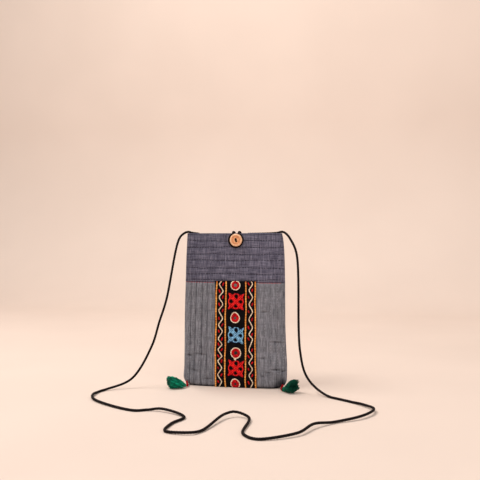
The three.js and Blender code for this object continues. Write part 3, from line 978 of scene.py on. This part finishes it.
def patch_sheet():
    """The strip: the front's plain face lifted off it, once as the strip's face and once as its back, both
    drawn in round its edge."""
    z = spread(PANEL_FOOT, PATCH_TOP, CLOTH_STEP)[:, None]
    left, right = slant(PATCH_LEFT, z), slant(PATCH_RIGHT, z)
    x = edge_to_edge(left, right, PATCH_RIGHT[0] - PATCH_LEFT[0], CLOTH_STEP)
    distance = inset(x, z, left, right, PANEL_FOOT, PATCH_TOP)
    ease = edge_ease(distance, PATCH_THICKNESS)
    relief = 0.6 * unevenness(x, z, 5.2) * np.clip(distance / PATCH_MARGIN, 0, 1)
    return closed_sheet(on_patch(x, z, relief - ease), on_patch(x, z, ease - PATCH_THICKNESS))


def dashes(x, z, depth, thread_radius):
    """Short stitches on the front, a row of points each: an arch over the cloth whose ends dive into it."""
    t = np.linspace(-1, 1, x.shape[1])
    lift = thread_radius * (1.0 - 1.9 * t ** 4)
    taper = (1 - 0.35 * t ** 6)[None, :, None]
    paths = points_at(x, -(depth + lift), z)
    shade = DICE.uniform(0, 1, len(paths))
    return tubes(paths, thread_radius * taper, STITCH_SIDES, FRONT, shade=shade)


def band_stitches():
    """Running stitch along each row of the band, with a little unevenness in place and length."""
    t = np.linspace(-0.5, 0.5, 7)
    for k, height in enumerate(STITCH_ROWS):
        left, right = edges(height)
        left, right = left + STITCH_MARGIN, right - STITCH_MARGIN
        count = int((right - left) / STITCH_PITCH)
        middle = np.linspace(left, right, count) + DICE.uniform(-STITCH_JITTER, STITCH_JITTER, count)
        length = STITCH_LENGTH * DICE.uniform(0.8, 1.2, count)
        x = middle[:, None] + length[:, None] * t
        z = row_height(k, x)
        yield dashes(x, z, front_depth(x, z) + band_relief(x, z), STITCH_THREAD)


def tuck_stitches():
    """A line of small stitches along each tuck, a little outwards from its step."""
    t = np.linspace(-0.5, 0.5, 6)
    ends = PANEL_FOOT + TUCK_STITCH_MARGIN, BAND_SEAM - TUCK_STITCH_MARGIN
    z = np.arange(*ends, TUCK_STITCH_PITCH)[:, None] + TUCK_STITCH_LENGTH * t
    for tuck in TUCKS:
        x = slant(tuck[:2], z) + np.sign(tuck[0]) * TUCK_STITCH_OFFSET
        yield dashes(x, z, front_depth(x, z) + panel_relief(x, z), TUCK_STITCH_THREAD)


def seam_stitches():
    """Red stitches that show in the seam between band and panel, on both sides of the strip."""
    t = np.linspace(-0.5, 0.5, 7)
    for first, last, pitch, sunk in SEAM_RUNS:
        x = np.arange(first, last, pitch)[:, None] + SEAM_STITCH_LENGTH * t
        z = np.full_like(x, BAND_SEAM - SEAM_STITCH_DROP)
        yield dashes(x, z, front_depth(x, z) - sunk, SEAM_STITCH_THREAD)


def add_cloth():
    """The walls of the pouch with their stitches."""
    upper = front_wall(BAND_SEAM + HALF_GAP, BAG_HEIGHT, BAND_STEPS, band_relief, band_painted_shade)
    lower = front_wall(PANEL_FOOT, BAND_SEAM - HALF_GAP, PANEL_STEPS, panel_relief, panel_painted_shade)
    band = add_piece("band", upper, SLATE_CLOTH, ["front_band"])
    panel = add_piece("panel", lower, GREY_CLOTH, ["front_panel"])
    patch = add_piece("patch", patch_sheet(), BLACK_CLOTH, ["embroidered_patch"])
    back = add_piece("back", back_wall(), SLATE_CLOTH, ["back_panel"])
    add_piece("band_stitches", joined(band_stitches()), SLATE_THREAD)
    add_piece("tuck_stitches", joined(tuck_stitches()), GREY_THREAD)
    add_piece("seam_stitches", joined(seam_stitches()), SEAM_THREAD)


# Embroidery

def within_strip(z):
    """Heights held between the strip's ends."""
    return np.clip(z, PANEL_FOOT + 0.5, PATCH_TOP - 0.5)


def chain(path, pitch, width, thread_radius):
    """Chain stitch along a flat path on the strip, each link a closed loop of thread: it goes out from its
    station, widens, rises and comes back, and reaches a little into the next link; its colour carries
    painted shade where it dives under the one before and is lighter where it stands highest. Links past the
    strip's ends are left out, and the rest are held in."""
    stations = evenly(path, pitch)
    step = np.diff(stations, axis=0)
    sideways = unit(np.stack([-step[:, 1], step[:, 0]], -1))
    turn = round_angles(LINK_STEPS)
    out = (1 - np.cos(turn)) / 2
    size = DICE.uniform(0.8, 1.2, (len(step), 1, 1))
    side = size * ((width / 2 - thread_radius) * np.sin(turn) * (0.6 + 0.5 * out))[:, None]
    flat = stations[:-1, None] + LINK_REACH * out[:, None] * step[:, None] + side * sideways[:, None]
    middle = flat[..., 1].mean(1)
    flat = flat[(middle < PATCH_TOP - 0.2) & (middle > PANEL_FOOT + 0.1)]
    lift = thread_radius * (LINK_LOW + LINK_RISE * out)
    paths = on_patch(flat[..., 0], within_strip(flat[..., 1]), lift)
    # Painted shade where each link dives under the one before, lighter where it stands highest, and a
    # random tone for each link
    tone = np.clip(0.9 * out + DICE.uniform(-0.3, 0.35, (len(paths), 1)), 0, 1)
    return tubes(paths, thread_radius, SILK_SIDES, FRONT, closed=True, shade=tone)


def chain_lines():
    """The straight lines of thick chain stitch, with a slow waver."""
    z = np.linspace(PATCH_TOP - 0.4, PANEL_FOOT + 0.2, 240)
    for k, line in enumerate(CHAIN_LINES):
        x = slant(line, z) + 0.25 * np.sin(z / 9 + 2 * k) + 0.15 * np.sin(z / 3.7 + k)
        yield chain(np.stack([x, z], -1), CHAIN_PITCH, CHAIN_WIDTH, CHAIN_THREAD)


def wave_turns(wave):
    """Heights of a waving line's turns and the side of each, with one more past each end of the strip."""
    turns = np.array([WAVE_ENDS[0], *wave["turns"], WAVE_ENDS[1]])
    side = wave["first"] * (-1.0) ** np.arange(-1, len(turns) - 1)
    return turns, side


def waving_lines():
    """The waving lines: between two turns the line swings over as a rounded triangle wave."""
    z = np.linspace(PATCH_TOP - 0.3, PANEL_FOOT + 0.2, 600)
    for wave in WAVES:
        turns, side = wave_turns(wave)
        phase = np.interp(-z, -turns, np.arange(len(turns)))
        swing = np.arcsin(WAVE_ROUNDING * np.cos(math.pi * phase)) / math.asin(WAVE_ROUNDING) * side[0]
        path = np.stack([slant(wave["middle"], z) + wave["swing"] * swing, z], -1)
        yield chain(path, LINE_PITCH, LINE_WIDTH, LINE_THREAD)


def seed_stitches():
    """Red seeds in the pockets of the waving lines: a few threads side by side that draw together at both
    ends, leaning away from the line."""
    t = np.linspace(-1, 1, 9)
    offset = (np.arange(SEED_THREADS) - (SEED_THREADS - 1) / 2)[None, :, None]
    over = offset * SEED_SPACING * (1 - 0.45 * t ** 2)
    lift = SEED_THREAD * (1.5 - 1.9 * t ** 4) * (1 - 0.08 * offset ** 2)
    for wave in WAVES:
        turns, side = (values[1:-1, None, None] for values in wave_turns(wave))
        left, right = wave["seeds"]
        middle = slant(wave["middle"], turns) + np.where(side < 0, right, left)
        lean = np.radians(SEED_LEAN + DICE.uniform(-SEED_JITTER, SEED_JITTER, turns.shape)) * -side
        size = DICE.uniform(0.75, 1.2, turns.shape)
        along = size * SEED_LENGTH / 2 * t * (1 - 0.06 * offset ** 2)
        x, z = turned(over, along, -lean)
        paths = on_patch(middle + x, turns + z, lift).reshape(-1, len(t), 3)
        yield tubes(paths, SEED_THREAD, SILK_SIDES, FRONT, shade=DICE.uniform(0, 1, len(paths)))


def eye_radius(eye, angle):
    """Outline of an eye: a circle with a bell for its point and a faint scallop."""
    radius, point, direction = eye[2:5]
    away = np.angle(np.exp(1j * (angle - math.radians(direction))))
    return radius - EYE_OUTLINE / 2 + point * bell(away, 0.5) + 0.1 * np.cos(9 * angle)


def eye_outlines():
    """A closed line of chain stitch round each eye."""
    angle = np.linspace(0, TAU, 200)
    for eye in EYES:
        reach = eye_radius(eye, angle)
        path = np.stack([eye[0] + reach * np.cos(angle), eye[1] + reach * np.sin(angle)], -1)
        yield chain(path, LINE_PITCH, EYE_OUTLINE, EYE_THREAD)


def eye_stitches():
    """Red threads that run out from the middle of each eye to its outline, arched over the cloth."""
    t = np.linspace(0, 1, 7)
    angle = round_angles(EYE_STITCHES)
    lift = 0.35 + 0.5 * np.sin(math.pi * t)
    swell = (0.26 + 0.22 * t)[None, :, None]
    for eye in EYES:
        outer = eye_radius(eye, angle) - EYE_OUTLINE / 2 + 0.3
        inner = eye[6] + DICE.uniform(-0.15, 0.2, EYE_STITCHES)
        reach = inner[:, None] + (outer - inner)[:, None] * t
        x = eye[0] + reach * np.cos(angle)[:, None]
        z = within_strip(eye[1] + reach * np.sin(angle)[:, None])
        shade = DICE.uniform(0, 1, EYE_STITCHES)
        yield tubes(on_patch(x, z, lift), swell, SILK_SIDES, EYE_AXIS, shade=shade)


def eye_knot():
    """The knot that ends the outline of one eye: small loops of thread on each other."""
    turn = round_angles(18)
    lane = np.arange(KNOT_LOOPS)[:, None]
    x = EYE_KNOT[0] + (0.9 - 0.12 * lane) * np.cos(turn) + 0.35 * (lane - 1)
    z = EYE_KNOT[1] + (0.75 - 0.1 * lane) * np.sin(turn) - 0.3 * (lane - 1)
    return tubes(on_patch(x, z, 0.5 + 0.3 * lane), LINE_THREAD, SILK_SIDES, FRONT, closed=True)


def eye_middles():
    """A low round boss in the middle of each eye: circles along its axis, by the sine of an angle."""
    turn = np.linspace(0.08, math.pi - 0.08, 12)
    x, z, _, _, _, shade, inner = np.array(EYES).T[:, :, None]
    paths = on_patch(x, z, 0.3 - 0.45 * np.cos(turn))
    return tubes(paths, ((inner + 0.2) * np.sin(turn))[:, :, None], 20, FRONT, shade=shade)


def placed(cross, u, v, lift):
    """Points of a cross's own square, tilted and moved to its place on the strip."""
    x, z, _, tilt, _ = cross
    right, up = turned(u, v, math.radians(tilt))
    return on_patch(x + right, z + up, lift)


def cross_diagonals(cross):
    """Two bands of threads from corner to corner: they narrow to a point and weave over and under each
    other where they meet, by a cosine of one wave in two threads."""
    s = np.linspace(-1, 1, 80)[None]
    lane = (np.arange(CROSS_LANES) - CROSS_LANES // 2)[:, None]
    along = s * cross[2] * math.sqrt(2) * (1 - 0.04 * np.abs(lane))
    narrow = 1 - 0.6 * np.clip((np.abs(s) - 0.6) / 0.4, 0, 1) ** 1.3
    over = lane * CROSS_PITCH * narrow
    meeting = np.abs(along) < CROSS_LANES / 2 * CROSS_PITCH
    weave = np.cos(math.pi * (along / CROSS_PITCH + lane)) * meeting
    for sign in (1, -1):
        lift = CROSS_THREAD * (1.25 + 0.75 * sign * weave) - 0.5 * np.abs(s) ** 12
        yield placed(cross, *turned(along, over, sign * QUARTER / 2), lift)


def cross_rings(cross):
    """Two oval rings of thread round each of the four open eyes of a cross, rising and falling; the
    outer one stays inside the cross."""
    turn = round_angles(32)[None]
    for quarter, (distance, long, wide) in enumerate(CROSS_HOLES):
        for grow, phase in ((0.0, 0.0), (0.85, math.pi)):
            out = np.minimum(distance + (long + grow) * np.cos(turn), cross[2] - 0.4)
            side = (wide + grow) * np.sin(turn)
            lift = CROSS_THREAD * (1.5 + 0.6 * np.cos(5 * turn + phase))
            yield placed(cross, *turned(out, side, quarter * QUARTER), lift)


def cross_sides(cross):
    """A thread along each side from corner to corner, on a curve that is hollow near the corners."""
    q = np.linspace(-1, 1, 44)[None]
    along = q * cross[2]
    out = cross[2] * (0.93 - 0.5 * q ** 2 + 0.55 * q ** 4)
    lift = CROSS_THREAD * (1.4 + 0.5 * np.cos(9 * q)) - 0.4 * np.abs(q) ** 12
    for quarter in range(4):
        yield placed(cross, *turned(along, out, quarter * QUARTER), lift)


def cross_threads(colour):
    """All threads of the crosses of one colour, by turns dark and light."""
    for cross in CROSSES:
        if cross[4] != colour:
            continue
        for make, closed in ((cross_diagonals, False), (cross_rings, True), (cross_sides, False)):
            paths = np.concatenate(list(make(cross)))
            shade = np.resize((0.0, 1.0), len(paths)) + DICE.uniform(-0.15, 0.15, len(paths))
            yield tubes(paths, CROSS_THREAD, SILK_SIDES, FRONT, closed, shade)


def add_embroidery():
    """The embroidery of the strip: a piece for each kind of stitch and thread."""
    add_piece("chain_lines", joined(chain_lines()), ORANGE_SILK)
    cream = joined([*waving_lines(), *eye_outlines(), eye_knot()])
    add_piece("cream_lines", cream, CREAM_SILK)
    add_piece("seed_stitches", joined(seed_stitches()), DEEP_RED_SILK)
    add_piece("eye_stitches", joined(eye_stitches()), DEEP_RED_SILK)
    add_piece("eye_middles", eye_middles(), EYE_GREY)
    add_piece("red_crosses", joined(cross_threads("red")), RED_SILK)
    add_piece("blue_cross", joined(cross_threads("blue")), BLUE_SILK)


# Closure

def button_point(radius, angle, height):
    """Points of the button: a radius and an angle about its axis, and a height off its back."""
    x = BUTTON_X + radius * np.cos(angle)
    y = -front_depth(BUTTON_X, BUTTON_Z) - BUTTON_STANDOFF - height
    return points_at(x, y, BUTTON_Z + radius * np.sin(angle))


def button_body():
    """The button's rounded profile carried round its axis."""
    profile = evenly(smooth_route(BUTTON_PROFILE, 12), 0.24)
    angle = round_angles(BUTTON_SIDES)
    points = button_point(profile[:, :1], angle, profile[:, 1:]).reshape(-1, 3)
    faces = grid_faces(len(profile), BUTTON_SIDES, wrap_columns=True)
    turn = np.arange(BUTTON_SIDES)
    ends = [turn[None, ::-1], turn[None] + len(points) - BUTTON_SIDES]
    return points, [faces, *ends], np.full(len(points), 0.5)


def drill_holes(button):
    """Cuts the two holes out of the button with round rods, side by side on one slanted line."""
    height = np.linspace(-3, 6, 3)
    angles = (-BUTTON_SLANT, math.pi - BUTTON_SLANT)
    rods = [button_point(BUTTON_HOLE_OFFSET, angle, height) for angle in angles]
    points, faces, _ = tubes(np.stack(rods), BUTTON_HOLE, 28, FRONT)
    drill = add_object("drill", mesh_of("drill", points, faces))
    cut = button.modifiers.new("holes", "BOOLEAN")
    cut.object = drill
    cut.operation = "DIFFERENCE"
    bpy.context.view_layer.update()
    shape = button.evaluated_get(bpy.context.evaluated_depsgraph_get())
    drilled = bpy.data.meshes.new_from_object(shape)
    button.modifiers.clear()
    button.data = drilled
    bpy.data.objects.remove(drill)


def button_threads():
    """Threads across the face from hole to hole, each a low arch that dives in at both ends, and behind
    the button a wound shank."""
    t = np.linspace(-1, 1, 25)[None]
    lane = np.linspace(-1, 1, BUTTON_THREADS)[:, None]
    past = np.abs(t) - CROSSING_BEND
    along = CROSSING_HALF * np.clip(t / CROSSING_BEND, -1, 1)
    height = FACE_HEIGHT + np.where(past < 0, 0.25 * (1 - (t / CROSSING_BEND) ** 2), -11 * past)
    x, z = turned(along, CROSSING_SPREAD * lane, -BUTTON_SLANT)
    crossing = button_point(np.hypot(x, z), np.arctan2(z, x), height - 0.15 * lane ** 2)
    axis = (math.cos(BUTTON_SLANT), -0.1, -math.sin(BUTTON_SLANT))
    turn = np.linspace(0, SHANK_TURNS * TAU, 120)
    winding = button_point(SHANK_RADIUS + 0.05, turn, -0.3 - 1.5 * turn / turn[-1])[None]
    core = button_point(0.01, 0.0, np.linspace(-BUTTON_STANDOFF + 0.2, 0.3, 6))[None]
    return joined([
        tubes(crossing, BUTTON_THREAD, 7, axis, shade=DICE.uniform(0, 1, BUTTON_THREADS)),
        tubes(winding, SHANK_THREAD, 7, (0.02, -1, 0.01)),
        tubes(core, SHANK_RADIUS, 18, FRONT),
    ])


def loop_route():
    """The loop: from inside the back wall over the front rim, round the button's edge, and back."""
    rim = front_depth(LOOP_X, BAG_HEIGHT)
    behind, above = np.array(LOOP_STRAND).T
    strand = points_at(0.0, behind - rim, BAG_HEIGHT + above)
    neck = math.acos(LOOP_NECK_HALF / LOOP_RADIUS)
    angle = math.pi - neck + (math.pi + 2 * neck) * np.linspace(0, 1, LOOP_POINTS)
    x = LOOP_X + LOOP_RADIUS * np.cos(angle)
    z = BUTTON_Z + LOOP_RADIUS * np.sin(angle)
    y = -front_depth(x, z) - 2 * HALF_GAP - LOOP_CORD
    left = strand + (LOOP_X - LOOP_NECK_HALF, 0, 0)
    right = strand[::-1] + (LOOP_X + LOOP_NECK_HALF, 0, 0)
    return smooth_route(np.concatenate([left, points_at(x, y, z), right]), 24)


def add_closure():
    """The button with its holes and thread, and the cord loop that holds it."""
    button = add_piece("wooden_button", button_body(), turned_wood(), ["button"])
    drill_holes(button)
    add_piece("button_threads", button_threads(), BLACK_THREAD, ["button_thread"])
    path = evenly(loop_route(), LOOP_STEP)
    loop = twisted_cord(path, LOOP_CORD, LOOP_TURN, LOOP_SIDES, LOOP_AXIS)
    add_piece("loop_cord", loop, BLACK_CORD, ["button_loop"])


# Tassels

def tassel_frame(tassel):
    """A tassel's start, length, direction and the direction across it, flat on the surface."""
    head, end = np.array(tassel["head"]), np.array(tassel["end"])
    length = np.linalg.norm(end - head)
    along = (end - head) / length
    return head, length, along, np.array([-along[1], along[0]])


def in_tassel(tassel, share, out, angle, thread_radius):
    """Points inside a tassel's form: a share of its length, and a share of its section at an angle."""
    head, length, along, sideways = tassel_frame(tassel)
    stations, half_width, centre, half_height = tassel["sections"].T
    wide = np.maximum(table_value(share, stations, half_width) - thread_radius, 0.2)
    high = np.maximum(table_value(share, stations, half_height) - thread_radius, 0.2)
    middle = table_value(share, stations, centre)
    side = out * wide * np.cos(angle)
    z = np.maximum(middle + out * high * np.sin(angle), thread_radius)
    flat = head + (share * length)[..., None] * along + side[..., None] * sideways
    return np.concatenate([flat, z[..., None]], -1)


def tassel_threads(tassel):
    """A tassel: a bound head of threads laid lengthwise, a wound neck, and a skirt of loose threads in
    bunches that spread out by the form's sections, curl by sines, and end unevenly."""
    _, _, along, _ = tassel_frame(tassel)
    axis = (*along, 0.02)
    neck = tassel["neck"]
    t = np.linspace(0, 1, 22)[None]
    column = (TASSEL_STRANDS, 1)
    bunch = DICE.integers(0, TASSEL_BUNCHES, column)
    bunch_tone = DICE.permutation(np.linspace(0.1, 1.25, TASSEL_BUNCHES))[bunch]
    bunch_end = DICE.uniform(-0.05, 0.09, TASSEL_BUNCHES)[bunch]
    bunch_beat = DICE.uniform(0, TAU, TASSEL_BUNCHES)[bunch]
    out = np.sqrt(DICE.uniform(0.05, 1, column))
    angle = TAU * bunch / TASSEL_BUNCHES + DICE.normal(0, 0.13, column)
    ends = 0.96 - bunch_end - DICE.uniform(0, 0.05, column) + 0.05 * out * np.sin(angle)
    share = neck + (ends - neck) * t
    curl = DICE.uniform(7, 10, column)
    bearing = angle + 0.14 * np.sin(bunch_beat + curl * t) + DICE.uniform(-0.3, 0.3, column) * t
    drawn = out * (0.87 + 0.13 * np.sin(2 * bunch_beat + 1.3 * curl * t))
    skirt = in_tassel(tassel, share, drawn, bearing, TASSEL_THREAD)
    crimp = 0.7 + 0.3 * np.sin(bunch_beat + 1.3 * curl * t)
    # Each strand's shade: the tassel's painted light times a random tone; painted shade on the inner
    # threads, by the square of how far out each lies, and towards the cut ends; a random tone for each
    # bunch, and a sine that makes each thread lighter and darker along its length
    strand_tone = DICE.uniform(0.5, 1.25, column) * tassel["light"]
    tone = np.clip((0.1 + 0.9 * out ** 2 * bunch_tone) * strand_tone * crimp * (1 - 0.3 * t ** 10), 0, 1)
    cap_angle = round_angles(CAP_STRANDS)[:, None]
    cap = in_tassel(tassel, np.linspace(0.004, neck + 0.02, 12)[None], 1.0, cap_angle, CAP_THREAD)
    # The cap's threads: the tassel's painted light times a random tone
    cap_tone = tassel["light"] * DICE.uniform(0.2, 0.8, CAP_STRANDS)
    core_share = np.linspace(0.01, neck + 0.06, 12)
    core = in_tassel(tassel, core_share, 0.0, 0.0, TASSEL_THREAD)[None]
    core_radius = table_value(core_share, *tassel["sections"].T[[0, 3]])[None, :, None] - 0.75
    turn = np.linspace(0, NECK_TURNS * TAU, 130)
    winding = in_tassel(tassel, neck + 0.05 * (turn / turn[-1] - 0.45), 1.12, turn, 0.3)[None]
    return joined([
        tubes(skirt, TASSEL_THREAD, 5, axis, shade=tone),
        tubes(cap, CAP_THREAD, 6, axis, shade=cap_tone),
        # The core is painted dark: painted shade inside the head, seen between its threads
        tubes(core, np.maximum(core_radius, 0.3), 14, axis, shade=np.array([0.1])),
        tubes(winding, NECK_THREAD, 7, (0.1, 0.05, 1), shade=np.array([0.35])),
    ])


def tie_threads(tassel):
    """A tie: thread wound closely round a core that runs from the cloth down to the tassel's head."""
    root_x, root_z = tassel["root"]
    head, _, along, _ = tassel_frame(tassel)
    route = smooth_route([
        (root_x, -front_depth(root_x, root_z) - TIE_ROOT_GAP, root_z),
        (*(head - TIE_STRAIGHT * along), TIE_LIE),
        (*(head - 2 * HALF_GAP * along), TIE_LIE),
    ])
    path = evenly(route, TIE_STEP)
    sideways, up = frames(unit(np.gradient(path, axis=0)), FRONT)
    turn = (TAU * TIE_STEP * np.arange(len(path)) / (2.05 * TIE_THREAD))[:, None]
    winding = path + (TIE_RADIUS - TIE_THREAD) * (np.cos(turn) * sideways + np.sin(turn) * up)
    core = evenly(route, TIE_CORE_STEP)
    return joined([
        tubes(winding[None], TIE_THREAD, 7, FRONT),
        tubes(core[None], TIE_RADIUS - TIE_THREAD, 10, FRONT, shade=np.array([0.1])),
    ])


def add_tassels():
    """The tassel and its tie at each bottom corner."""
    for side, tassel in TASSELS.items():
        add_piece(f"tie_{side}", tie_threads(tassel), RED_THREAD, [f"tassel_tie_{side}"])
        add_piece(f"tassel_threads_{side}", tassel_threads(tassel), GREEN_THREAD,
                  [f"tassel_{side}"])


# Stage

def add_stage():
    """A pale sheet of paper: flat under the bag, and turning up far behind it on a quarter circle."""
    turn = np.linspace(0, QUARTER, 24)
    bend_y = STAGE_BEND + STAGE_RADIUS * np.sin(turn)
    bend_z = STAGE_RADIUS - STAGE_RADIUS * np.cos(turn)
    x = np.linspace(-STAGE_REACH, STAGE_REACH, 12)
    y = np.concatenate([[-STAGE_REACH], bend_y, [STAGE_BEND + STAGE_RADIUS]])
    z = np.concatenate([[0], bend_z, [STAGE_REACH]])
    points = points_at(x, y[:, None], z[:, None]).reshape(-1, 3)
    mesh = mesh_of("backdrop", points, [grid_faces(len(y), len(x))])
    mesh.shade_smooth()
    mesh.materials.append(backdrop_paper())
    add_object("backdrop", mesh)


def add_light(name, place, aim, size, watts, colour):
    """An area light of a width and a height at a place, turned towards a point."""
    light = add_object(name, bpy.data.lights.new(name, "AREA"))
    light.data.shape = "RECTANGLE"
    light.data.size, light.data.size_y = size
    light.data.energy = watts
    light.data.color = colour
    light.location = place
    x, y, z = np.array(aim) - np.array(place)
    light.rotation_euler = (math.atan2(math.hypot(x, y), -z), 0, math.atan2(-x, y))


def add_lights():
    """The studio's soft lights and the even light from all round."""
    for light in LIGHTS:
        add_light(*light)
    world = bpy.data.worlds.new("soft_light")
    world.use_nodes = True
    background = world.node_tree.nodes["Background"]
    background.inputs["Color"].default_value = WORLD_COLOUR
    background.inputs["Strength"].default_value = WORLD_STRENGTH
    bpy.context.scene.world = world
    bpy.context.scene.view_settings.view_transform = "Standard"


add_camera()
add_strap()
add_cloth()
add_embroidery()
add_closure()
add_tassels()
add_stage()
add_lights()
